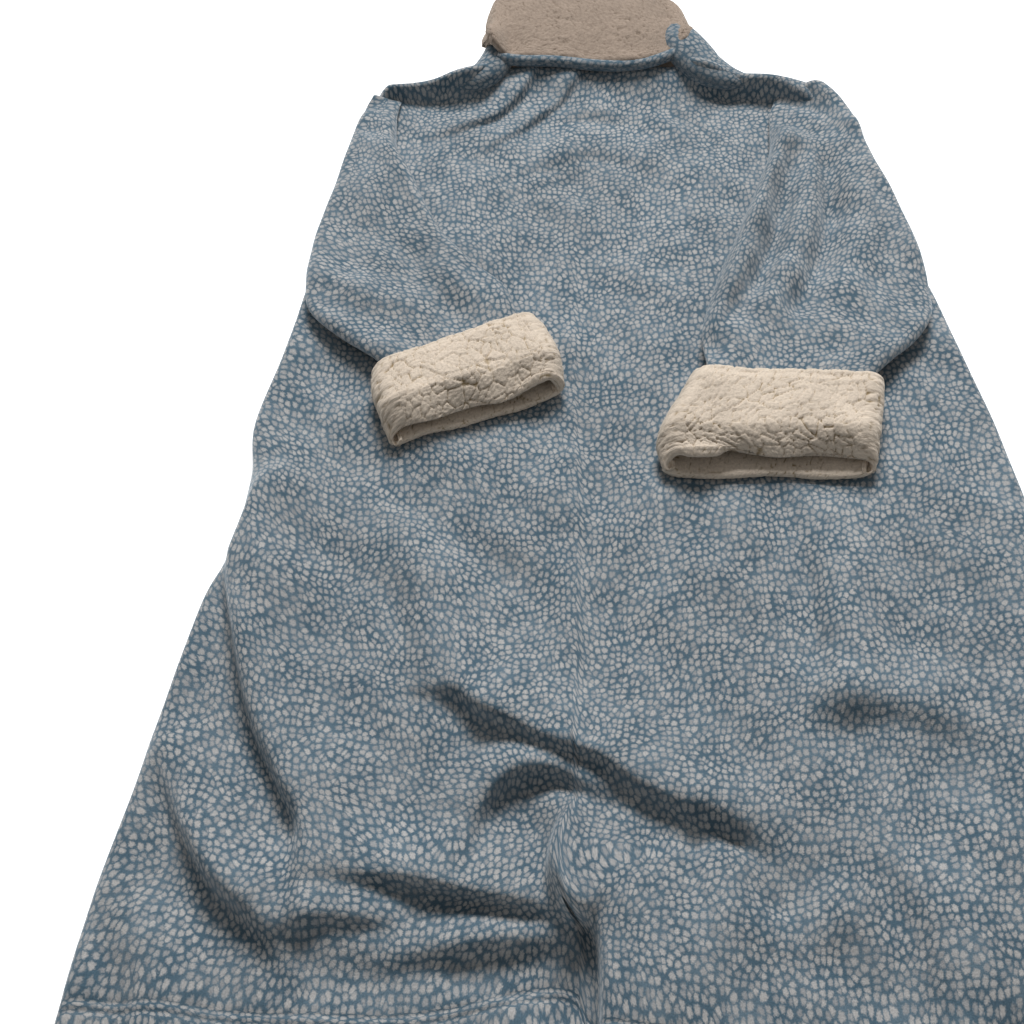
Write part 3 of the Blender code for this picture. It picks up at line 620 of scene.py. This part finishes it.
SLEEVE_FOLDS = (
    Fold("left inner roll", ((-0.108, 0.704), (-0.142, 0.752), (-0.178, 0.810),
                             (-0.208, 0.880), (-0.226, 0.950)),
         0.017, 0.020, 0.060, 0.5, 0.5, 0.0),
    Fold("right inner roll", ((0.178, 0.940), (0.160, 0.880), (0.134, 0.800),
                              (0.108, 0.720), (0.090, 0.650)),
         0.016, 0.020, 0.032, 0.6, 0.5, 0.0),
    Fold("left sleeve ridge", ((-0.250, 0.930), (-0.245, 0.820), (-0.205, 0.700)),
         0.008, 0.034, 0.044, 0.5, 0.3, 0.0),
    Fold("left sleeve swell", ((-0.190, 0.760), (-0.160, 0.715), (-0.130, 0.680)),
         0.005, 0.030, 0.036, 0.4, 0.4, 0.0),
    Fold("left elbow fold", ((-0.292, 0.740), (-0.235, 0.690), (-0.165, 0.672)),
         0.006, 0.026, 0.036, 0.5, 0.3, 0.0),
    Fold("left band crease", ((-0.152, 0.762), (-0.128, 0.730), (-0.099, 0.702)),
         -0.004, 0.012, 0.018, 0.4, 0.4, 0.0),
    Fold("left armhole dent", ((-0.262, 0.955), (-0.240, 0.930)),
         -0.005, 0.018, 0.018, 0.6, 0.6, 0.0),
    Fold("right sleeve ridge", ((0.204, 0.900), (0.188, 0.820), (0.160, 0.740),
                                (0.128, 0.640)),
         0.008, 0.022, 0.030, 0.6, 0.4, 0.0),
    Fold("right inner trough", ((0.182, 0.884), (0.166, 0.846), (0.156, 0.783),
                                (0.132, 0.725), (0.099, 0.667), (0.078, 0.622)),
         -0.010, 0.015, 0.022, 0.7, 0.8, 0.0),
    Fold("right outer trough", ((0.221, 0.893), (0.212, 0.808), (0.190, 0.736),
                                (0.162, 0.680)),
         -0.011, 0.015, 0.022, 0.7, 0.7, 0.0),
    Fold("right sleeve outer ridge", ((0.250, 0.880), (0.246, 0.800),
                                      (0.222, 0.720), (0.190, 0.650)),
         0.008, 0.026, 0.032, 0.6, 0.4, 0.0),
    Fold("right armhole fold", ((0.150, 0.905), (0.190, 0.922), (0.240, 0.925)),
         0.007, 0.018, 0.026, 0.6, 0.4, 0.0),
)


def across_shares(width, roll, inner):
    """Shares across a width, in even turns round both its rolled edges."""
    near = (1 - np.cos(np.linspace(0, 0.5 * np.pi, 9))) * roll / width
    middle = np.linspace(near[-1], 1 - near[-1], inner + 2)[1:-1]
    return np.concatenate((near, middle, 1 - near[::-1]))


def sleeve_rings(side, centre, heights, lifts):
    """Rings of a soft flat tube that lies on the back, one for each section."""
    rings = []
    for row in range(len(side)):
        width = np.hypot(*(centre[row] - side[row]))
        turn = min(SLEEVE_ROLL, 0.45 * width)
        shares = across_shares(width, turn, SLEEVE_COLUMNS)
        x = side[row][0] + shares * (centre[row][0] - side[row][0])
        y = side[row][1] + shares * (centre[row][1] - side[row][1])
        near = rolled(np.minimum(shares, 1 - shares) * width, turn)
        middle = back_crown(x, y) + REST_GAP + lifts[row] + 0.5 * heights[row]
        folds = fold_moves(SLEEVE_FOLDS, x, y)[0] + ripple(1.3 * x + 0.3, 1.2 * y)
        full = heights[row] / SLEEVE_HEIGHT
        over = middle + (0.5 * heights[row] + folds * full) * near
        under = middle - 0.5 * heights[row] * near
        upper = np.stack((x, y, over), axis=-1)
        lower = np.stack((x, y, under), axis=-1)[1:-1]
        rings.append(np.concatenate((upper, lower[::-1])))
    return np.array(rings)


CuffSection = namedtuple("CuffSection", "side_x side_y centre_x centre_y")
LEFT_CUFF = (
    CuffSection(-0.232, 0.596, -0.086, 0.668),
    CuffSection(-0.230, 0.572, -0.070, 0.642),
    CuffSection(-0.222, 0.544, -0.060, 0.612),
    CuffSection(-0.213, 0.522, -0.058, 0.588),
)
RIGHT_CUFF = (
    CuffSection(0.232, 0.588, 0.060, 0.596),
    CuffSection(0.226, 0.556, 0.042, 0.560),
    CuffSection(0.218, 0.520, 0.024, 0.522),
    CuffSection(0.212, 0.492, 0.026, 0.494),
)
for name, table, cuff in (("sleeve_left", LEFT_SLEEVE, LEFT_CUFF),
                          ("sleeve_right", RIGHT_SLEEVE, RIGHT_CUFF)):
    cuff_lift = 0.5 * (CUFF_HEIGHT - SLEEVE_HEIGHT) + 0.002
    hidden = []
    for row in cuff[:3]:
        side_end = np.array((row.side_x, row.side_y))
        centre_end = np.array((row.centre_x, row.centre_y))
        inwards = (centre_end - side_end) / np.hypot(*(centre_end - side_end))
        side_end = side_end + inwards * SLEEVE_IN_CUFF
        centre_end = centre_end - inwards * SLEEVE_IN_CUFF
        hidden.append(Section(*side_end, *centre_end, SLEEVE_END_HEIGHT, cuff_lift))
    path = curve_through(table + tuple(hidden), 8)
    heights = np.clip(path[:, 4], 0.004, SLEEVE_HEIGHT)
    lifts = np.clip(path[:, 5], 0, cuff_lift)
    outer = sleeve_rings(path[:, 0:2], path[:, 2:4], heights, lifts)
    if name.endswith("left"):
        outer = outer[:, ::-1]
    inner = outer - grid_normals(outer, True) * np.minimum(
        SLEEVE_SHELL, 0.3 * heights)[:, None, None]
    sleeve = cloth_wall(name + "_cloth", outer, inner, True, plush)
    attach(sleeve, "root")
    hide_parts(name)

# Cuffs
# Each sleeve's end is turned back on itself, so its woolly inside shows: cream
# sherpa pile in curled tufts that part in fine cracks. The end stays open.
LINT = (0.720, 0.615, 0.505, 1)
# The darker, yellower colour of the partings is painted shade in the cracks between tufts.
PARTING_SHADE = (0.330, 0.240, 0.130, 1)


def sherpa_pile(name, pale, parting_shade, curl_scale, strength):
    """Curled cream pile; its partings are painted darker and yellower, as painted shade in the
    cracks between tufts.
    """
    finish = Finish(name, {"Roughness": 0.95, "Sheen Weight": 0.25,
                           "Sheen Roughness": 0.5, "Sheen Tint": (1.0, 0.96, 0.88, 1),
                           "Specular IOR Level": 0.10})
    flat = finish.mark("flat", "Vector")
    tuft = finish.mark("tuft", "Fac")
    curls = finish.noise(flat, curl_scale, 3.0)
    patch = finish.noise(flat, 26.0, 2.0)
    # Where the pile parts, the colour turns to the painted shade of the partings.
    open_pile = finish.ease(tuft + curls * 0.30 - 0.15, 0.05, 0.80)
    colour = finish.blend(open_pile, parting_shade, pale)
    shade = finish.ease(curls, 0.25, 0.75, 0.86, 1.10) * finish.ease(patch, 0.3, 0.7, 0.94, 1.05)
    shade = finish.node("ShaderNodeCombineColor", {}, {0: shade, 1: shade, 2: shade})
    finish.feed("Base Color", finish.blend(1.0, colour, shade, "MULTIPLY"))
    fibre = finish.noise(flat, 1500.0, 2.0)
    finish.bump(curls * 0.7 + fibre * 0.3, strength, 0.0018)
    return finish


sherpa = sherpa_pile("sherpa", LINT, PARTING_SHADE, 420.0, 0.6)


def scatter(column, row, seed):
    """A number from 0 to 1 for each cell of a lattice, the same every time."""
    mixed = np.sin(column * 127.1 + row * 311.7 + seed) * 43758.5453
    return mixed - np.floor(mixed)


def tufts(u, v, size, seed):
    """How far inside a curled tuft each point lies, and the tuft's own number."""
    a, b = u / size, v / size
    nearest = np.full(a.shape, 9.0)
    second = np.full(a.shape, 9.0)
    number = np.zeros(a.shape)
    for da in (-1, 0, 1):
        for db in (-1, 0, 1):
            column, row = np.floor(a) + da, np.floor(b) + db
            away = np.hypot(column + scatter(column, row, seed) - a,
                            row + scatter(column, row, seed + 7.3) - b)
            closer = away < nearest
            second = np.where(closer, nearest, np.minimum(second, away))
            number = np.where(closer, scatter(column, row, seed + 3.1), number)
            nearest = np.minimum(nearest, away)
    return second - nearest, number


def sherpa_relief(grid, size, depth, seed):
    """Height of the pile over a grid, and how far each point is from a crack between its tufts.
    """
    flat = cloth_lengths(grid)
    u, v = flat[..., 0], flat[..., 1]
    warp_u = 0.30 * size * np.sin(v * 95 + seed) + 0.2 * size * np.sin(u * 170 + 2 * seed)
    warp_v = 0.30 * size * np.sin(u * 83 + 1.7 * seed) + 0.2 * size * np.sin(v * 210)
    big, number = tufts(u + warp_u, v + warp_v, size, seed)
    small, _ = tufts(u + warp_v, v + warp_u, 0.42 * size, seed + 11)
    openness = 0.78 + 0.22 * np.sin(u * 61 + seed) * np.sin(v * 74 + 2 * seed)
    parted = 1 - openness * (1 - np.clip(big / 0.20, 0, 1)) ** 2
    dimples = 1 - (1 - np.clip(small / 0.35, 0, 1)) ** 2
    height = depth * (0.62 * parted + 0.20 * dimples + 0.28 * number)
    return height, parted * (0.80 + 0.20 * dimples)


# How one cuff lies: the height at its mouth, how far the mouth gapes and at
# which share of its width, and how far the lower layer's lip shows
CuffForm = namedtuple("CuffForm", "mouth gape gape_at gape_width lip wave seed")
LEFT_FORM = CuffForm(0.0195, 0.0120, 0.88, 0.15, 0.003, 0.002, 1.3)
RIGHT_FORM = CuffForm(0.0200, 0.0130, 0.84, 0.17, 0.010, 0.003, 4.1)
CUFF_ROLL = 0.017
LIP_TURN = 7
INSIDE_ROWS = 22
CUFF_COLUMNS = 128
CUFF_TUFT = 0.0100
PILE_DEPTH = 0.0036
PILE_WORN = 0.4


def cuff_skin(table, form, handed):
    """Rings over the cuff's outside, round its lip and back into its mouth."""
    path = curve_through(table, 26)
    rows = len(path)
    place = np.linspace(0, 1, rows)
    width = np.hypot(path[:, 2] - path[:, 0], path[:, 3] - path[:, 1])
    shares = across_shares(float(width.mean()), CUFF_ROLL, CUFF_COLUMNS)
    gape = form.gape * np.exp(-((shares - form.gape_at) / form.gape_width) ** 2)
    wave = form.wave * np.sin(shares * 15 + form.seed)
    towards = np.clip(3 * place - 2, 0, 1) ** 2
    height = np.interp(place, (0, 0.06, 0.18, 0.66, 1),
                       (CUFF_HEIGHT - 0.013, CUFF_HEIGHT - 0.004, CUFF_HEIGHT + 0.001,
                        CUFF_HEIGHT - 0.001, form.mouth))
    lifts = np.interp(place, (0, 0.10, 1), (0.0045, 0, 0))
    upper, lower, insides = [], [], []
    for row in range(rows):
        x = path[row, 0] + shares * (path[row, 2] - path[row, 0])
        y = path[row, 1] + shares * (path[row, 3] - path[row, 1])
        near = rolled(np.minimum(shares, 1 - shares) * width[row], CUFF_ROLL)
        floor = back_crown(x, y) + REST_GAP + lifts[row]
        tall = height[row] + gape * towards[row]
        back_off = (form.lip + wave) * towards[row]
        inwards = np.stack((path[0, 0] - path[-1, 0] + 0 * x,
                            path[0, 1] - path[-1, 1] + 0 * x), axis=-1)
        inwards = inwards / np.hypot(inwards[:, 0], inwards[:, 1])[:, None]
        half = 0.5 * tall
        upper.append(np.stack((x + inwards[:, 0] * back_off * near,
                               y + inwards[:, 1] * back_off * near,
                               floor + half + half * near), axis=-1))
        lower.append(np.stack((x, y, floor + half - half * near), axis=-1))
        insides.append(inwards[0])
    rings = np.array([np.concatenate((over, under[1:-1][::-1]))
                      for over, under in zip(upper, lower)])
    if handed < 0:
        rings = rings[:, ::-1]
    normal = grid_normals(rings, True)
    mid = rings - 0.5 * CUFF_WALL * normal
    half_wall = 0.5 * CUFF_WALL
    inwards = np.array((*insides[-1], 0.0))
    lip = []
    for turn in np.linspace(0, np.pi, LIP_TURN + 2)[1:-1]:
        lip.append(mid[-1] + half_wall * (np.cos(turn) * normal[-1]
                                          - np.sin(turn) * inwards))
    first = rows - 1 - 3 * INSIDE_ROWS
    mouth = [(mid - half_wall * normal)[k] for k in range(rows - 1, first, -3)]
    return np.concatenate((rings, np.array(lip), np.array(mouth)))


for name, table, form, handed in (("cuff_left", LEFT_CUFF, LEFT_FORM, -1),
                                  ("cuff_right", RIGHT_CUFF, RIGHT_FORM, 1)):
    skin = cuff_skin(table, form, handed)
    height, parted = sherpa_relief(skin, CUFF_TUFT, PILE_DEPTH, form.seed)
    normal = grid_normals(skin, True)
    height[len(skin) - LIP_TURN - INSIDE_ROWS:] *= PILE_WORN
    outer = skin + (height - 0.6 * PILE_DEPTH)[..., None] * normal
    lowest = back_crown(outer[..., 0], outer[..., 1]) + 0.0003
    outer[..., 2] = np.maximum(outer[..., 2], lowest)
    inner = skin - 0.0030 * normal
    inner[..., 2] = np.maximum(inner[..., 2], lowest + 0.0004)
    # The tuft mark sets where the cuff's partings get painted shade.
    cuff = cloth_wall(name + "_sherpa", outer, inner, True, sherpa, {"tuft": parted})
    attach(cuff, "root")
    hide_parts(name)

# Collar
# A shawl collar with the woolly side out. It stands up from the neck seam, turns
# over behind the neck and lies down on the back; its pile is worn flatter.
COLLAR_WALL = 0.011
COLLAR_SEAM_Z = 0.0094
COLLAR_TURN_RISE = 0.055
COLLAR_EASE = 0.0014
COLLAR_SHELL = 0.0050
COLLAR_TUFT = 0.0058
COLLAR_PILE_DEPTH = 0.0022
COLLAR_PILE_SEED = 2.2

CollarSection = namedtuple("CollarSection", "x free_y turn_y")
COLLAR = (
    CollarSection(-0.134, 1.086, 1.136),
    CollarSection(-0.130, 1.076, 1.150),
    CollarSection(-0.120, 1.067, 1.166),
    CollarSection(-0.096, 1.064, 1.174),
    CollarSection(-0.053, 1.064, 1.179),
    CollarSection(-0.010, 1.058, 1.180),
    CollarSection(0.033, 1.058, 1.178),
    CollarSection(0.062, 1.072, 1.172),
    CollarSection(0.084, 1.082, 1.160),
    CollarSection(0.096, 1.092, 1.136),
)
# The second colour is painted shade in the partings of the collar's pile.
collar_pile = sherpa_pile("collar_sherpa", (0.365, 0.288, 0.232, 1),
                          (0.215, 0.165, 0.125, 1), 300.0, 0.8)


def collar_profile(free_y, turn_y, x):
    """Middle of the collar's cloth, from the neck seam over to its free edge."""
    rise = COLLAR_TURN_RISE * np.interp(turn_y - free_y, (0.052, 0.120), (0.56, 1))
    over_z = back_crown(np.array([x]), np.array([free_y]))[0]
    over_z += REST_GAP + 0.5 * COLLAR_WALL + COLLAR_EASE
    over_z = max(over_z, COLLAR_SEAM_Z + COLLAR_WALL + 0.003)
    points = ((NECK_Y + 0.001, COLLAR_SEAM_Z), (turn_y - 0.016, COLLAR_SEAM_Z),
              (turn_y, COLLAR_SEAM_Z + 0.5 * rise),
              (turn_y - 0.016, COLLAR_SEAM_Z + rise),
              (0.4 * turn_y + 0.6 * free_y, 0.6 * (COLLAR_SEAM_Z + rise) + 0.4 * over_z),
              (free_y + 0.011, over_z + 0.0006), (free_y, over_z))
    return curve_through(points, 22)


skin = []
for x, free_y, turn_y in curve_through(COLLAR, 18):
    middle = collar_profile(free_y, turn_y, x)
    ahead = along_line(middle)
    outside = middle + 0.5 * COLLAR_WALL * np.stack((ahead[:, 1], -ahead[:, 0]), axis=-1)
    turned = outside[-1] - middle[-1]
    inside = middle - (outside - middle)
    lip = [middle[-1] + np.cos(turn) * turned + np.sin(turn) * 0.5 * COLLAR_WALL * ahead[-1]
           for turn in np.linspace(0, np.pi, 9)[1:-1]]
    line = np.concatenate((outside, np.array(lip), inside[::-1][:30:3]))
    skin.append([(x, y, z) for y, z in line])
skin = np.array(skin)
height, parted = sherpa_relief(skin, COLLAR_TUFT, COLLAR_PILE_DEPTH, COLLAR_PILE_SEED)
normal = grid_normals(skin)
outer = skin + (height - 0.0010)[..., None] * normal
inner = skin - COLLAR_SHELL * normal
# The tuft mark sets where the collar's partings get painted shade.
collar = cloth_wall("collar_sherpa_cloth", outer, inner, False, collar_pile,
                    {"tuft": parted})
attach(collar, "root")
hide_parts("collar")

# Collar edge
# The collar's other side is the printed plush. It rolls out in a narrow band
# along the free edge, and shows as soft turned ends above both shoulders.
BINDING_WIDTH = 0.012
BINDING_HEIGHT = 0.0125
BINDING_ENDS = (-0.118, 0.078)
COLLAR_EDGE_FIT = 0.0008
shaded_plush = printed_plush("shaded_plush", 0.75)

RollSection = namedtuple("RollSection", "x y z across height")
LEFT_TURN = (
    RollSection(-0.112, 1.102, 0.044, 0.020, 0.016),
    RollSection(-0.116, 1.088, 0.043, 0.032, 0.026),
    RollSection(-0.122, 1.066, 0.040, 0.036, 0.030),
    RollSection(-0.134, 1.048, 0.037, 0.034, 0.028),
    RollSection(-0.152, 1.040, 0.034, 0.028, 0.022),
    RollSection(-0.172, 1.038, 0.031, 0.016, 0.012),
)
RIGHT_TURN = (
    RollSection(0.074, 1.118, 0.048, 0.022, 0.016),
    RollSection(0.082, 1.100, 0.047, 0.040, 0.028),
    RollSection(0.092, 1.078, 0.044, 0.048, 0.034),
    RollSection(0.108, 1.056, 0.040, 0.046, 0.032),
    RollSection(0.130, 1.044, 0.036, 0.034, 0.024),
    RollSection(0.154, 1.040, 0.033, 0.018, 0.012),
)


def soft_roll(name, rings, finish, replaces):
    """A closed roll of cloth through rings of points."""
    rows, columns = rings.shape[:2]
    number = np.arange(rows * columns).reshape(rows, columns)
    right = np.roll(number, -1, axis=1)
    quads = np.stack((number[:-1], right[:-1], right[1:], number[1:]), axis=-1)
    faces = quads.reshape(-1, 4).tolist() + [number[0][::-1].tolist(), number[-1].tolist()]
    mesh = bpy.data.meshes.new(name)
    mesh.from_pydata((rings.reshape(-1, 3) + PLACE).tolist(), [], faces)
    mesh.shade_smooth()
    attribute = mesh.attributes.new("flat", "FLOAT_VECTOR", "POINT")
    attribute.data.foreach_set("vector", cloth_lengths(rings).ravel())
    mesh.materials.append(finish.material)
    piece = bpy.data.objects.new(name, mesh)
    bpy.context.scene.collection.objects.link(piece)
    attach(piece, "root")
    if replaces is not None:
        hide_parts(replaces)
    return piece


line = curve_through([(row.x, row.free_y) for row in COLLAR], 14)
line = evened(line, 0, 14)
line = line[(line[:, 0] > BINDING_ENDS[0]) & (line[:, 0] < BINDING_ENDS[1])]
ahead = along_line(line)
seat = back_crown(line[:, 0], line[:, 1] - 0.5 * BINDING_WIDTH) + REST_GAP
seat = evened(seat[:, None], 0, 20)[:, 0]
rings = []
for point, step, rest in zip(line, ahead, seat):
    out = np.array((step[1], -step[0]))
    turns = np.linspace(2 * np.pi, 0, 20, endpoint=False)
    reach = COLLAR_EDGE_FIT + 0.5 * (1 + np.cos(turns)) * BINDING_WIDTH
    x, y = point[0] + out[0] * reach, point[1] + out[1] * reach
    z = rest + BINDING_HEIGHT * 0.5 * (1 + np.sin(turns))
    rings.append(np.stack((x, y, z), axis=-1))
soft_roll("collar_edge_plush", np.array(rings), shaded_plush, "collar_edge")

for name, table, flat in (("collar_turn_left", LEFT_TURN, (0.046, 0.10)),
                          ("collar_turn_right", RIGHT_TURN, (0.060, 0.13))):
    path = curve_through(table, 8)
    ahead = along_line(path[:, :2])
    turns = np.linspace(2 * np.pi, 0, 28, endpoint=False)
    rings = []
    for (x, y, z, across, tall), step in zip(path, ahead):
        out = np.array((step[1], -step[0]))
        reach = 0.5 * across * np.cos(turns)
        rings.append(np.stack((x + out[0] * reach, y + out[1] * reach,
                               z + 0.5 * tall * np.sin(turns)), axis=-1))
    soft_roll(name, np.array(rings), shaded_plush, None)

# Collar fronts
# The collar runs on down both front edges. Here it lies flat beneath the back,
# woolly side down, and fills the neck's V between the fronts.
COLLAR_STRIP = 0.090
for name, hand in (("collar_front_left", -1), ("collar_front_right", 1)):
    levels = np.linspace(V_NECK_Y + 0.035, NECK_Y - 0.004, 60)
    far = v_neck(levels) - 0.0006
    near = np.maximum(far - COLLAR_STRIP, CENTRE_GAP)
    shares = np.linspace(0, 1, 16)
    x = near[:, None] + shares * (far - near)[:, None]
    y = np.repeat(levels[:, None], len(shares), axis=1)
    under = np.stack((hand * x, y, np.zeros_like(x)), axis=-1)
    over = np.stack((hand * x, y, np.full_like(x, COLLAR_WALL - 0.002)), axis=-1)
    if hand > 0:
        under, over = under[:, ::-1], over[:, ::-1]
    run = cloth_wall(name + "_sherpa", under, over, False, collar_pile,
                     {"tuft": np.ones_like(x)})
    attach(run, "root")
    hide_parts(name)

# Surface, light and camera
# A plain pale surface under the robe, one broad soft light above and behind its
# collar, and the viewpoint of someone standing at the hem.
VIEW_FROM = (-0.105, -0.284, 1.0)
VIEW_TILT = 53.0
LENS = 49.99
SURFACE_SIZE = 12
SURFACE_Z = -0.0004
LIGHT_PLACE = (0.1, 2.8, 3.6)
LIGHT_AIM = (0.0, 0.0, 0.0)
LIGHT_SIZE = 1.8
LIGHT_POWER = 218

bpy.ops.mesh.primitive_plane_add(size=SURFACE_SIZE, location=(0, 0, SURFACE_Z))
surface = bpy.context.object
surface.name = "surface"
pale = Finish("pale_surface", {"Roughness": 0.9, "Base Color": (0.90, 0.90, 0.90, 1),
                               "Emission Color": (1, 1, 1, 1), "Emission Strength": 0.45})
surface.data.materials.append(pale.material)

world = bpy.data.worlds.new("soft_room")
world.use_nodes = True
world.node_tree.nodes["Background"].inputs["Color"].default_value = (1.0, 0.99, 0.97, 1)
world.node_tree.nodes["Background"].inputs["Strength"].default_value = 0.24
bpy.context.scene.world = world


def softbox(name, place, aim, size, power):
    light = bpy.data.lights.new(name, "AREA")
    light.size = size
    light.energy = power
    lamp = bpy.data.objects.new(name, light)
    lamp.location = place
    direction = np.array(aim) - np.array(place)
    across = np.hypot(direction[0], direction[1])
    lamp.rotation_euler = (np.arctan2(across, -direction[2]), 0,
                           np.arctan2(-direction[0], direction[1]))
    bpy.context.scene.collection.objects.link(lamp)


softbox("overhead", LIGHT_PLACE, LIGHT_AIM, LIGHT_SIZE, LIGHT_POWER)

camera = bpy.data.objects.new("camera", bpy.data.cameras.new("camera"))
camera.data.lens = LENS
camera.location = np.array(VIEW_FROM) + PLACE
camera.rotation_euler = (np.radians(90 - VIEW_TILT), 0, 0)
bpy.context.scene.collection.objects.link(camera)
bpy.context.scene.camera = camera
bpy.context.scene.view_settings.view_transform = "Standard"
